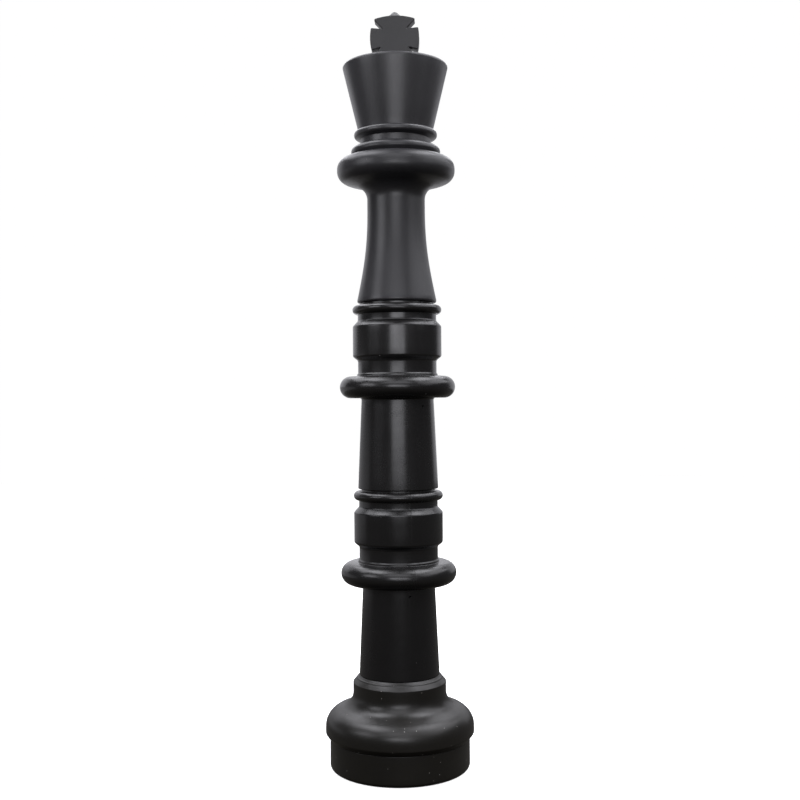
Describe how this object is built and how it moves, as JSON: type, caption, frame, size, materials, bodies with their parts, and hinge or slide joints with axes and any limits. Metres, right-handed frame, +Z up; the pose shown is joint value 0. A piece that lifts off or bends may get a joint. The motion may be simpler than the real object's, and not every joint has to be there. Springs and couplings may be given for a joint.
{
  "type": "giant chess king",
  "caption": "Lawn chess king made of stacked hollow plastic sections: sand-filled base, lift-off extension rings, king's head with a flared crown and a pattee cross.",
  "frame": {"origin": "centre of the foot ring, on the ground", "axes": "+Z up along the king's own axis, which every section is turned about; the cross's two broad faces look along -Y and +Y, with its side arms along X"},
  "size_m": [0.2444, 0.2444, 1.2426],
  "materials": {
    "base_plastic": "satin",
    "ballast_sand": "matte",
    "plug_plastic": "matte",
    "seal_rubber": "matte",
    "extension_plastic": "satin",
    "king_plastic": "satin",
    "cross_plastic": "matte"
  },
  "bodies": {
    "base": {"base_drum": "base_plastic", "base_bell": "base_plastic", "sand_ballast": "ballast_sand"},
    "seal": {"filler_seal": "seal_rubber"},
    "plug": {"filler_plug": "plug_plastic"},
    "lower_section": {"lower_extension": "extension_plastic"},
    "upper_section": {"upper_extension": "extension_plastic"},
    "king_head": {"king_neck": "king_plastic", "king_crown": "king_plastic"},
    "finial": {"cross": "cross_plastic"}
  },
  "joints": [
    {"name": "lower_lift", "type": "slide", "parent": "base", "child": "lower_section", "axis": [0, 0, 1], "range_m": [0, 0.06]},
    {"name": "upper_lift", "type": "slide", "parent": "lower_section", "child": "upper_section", "axis": [0, 0, 1], "range_m": [0, 0.06]},
    {"name": "head_lift", "type": "slide", "parent": "upper_section", "child": "king_head", "axis": [0, 0, 1], "range_m": [0, 0.06]},
    {"name": "cross_lift", "type": "slide", "parent": "king_head", "child": "finial", "axis": [0, 0, 1], "range_m": [0, 0.035]},
    {"name": "seal_travel", "type": "slide", "parent": "base", "child": "seal", "axis": [0, 0, -1], "range_m": [0, 0.012]},
    {"name": "plug_turn", "type": "hinge", "parent": "seal", "child": "plug", "pos_m": [0, 0, 0.026], "axis": [0, 0, -1], "range_deg": [0, 1080]}
  ],
  "couplings": [
    {"joint": "seal_travel", "follows": "plug_turn", "m_per_rad": 0.00063662}
  ]
}
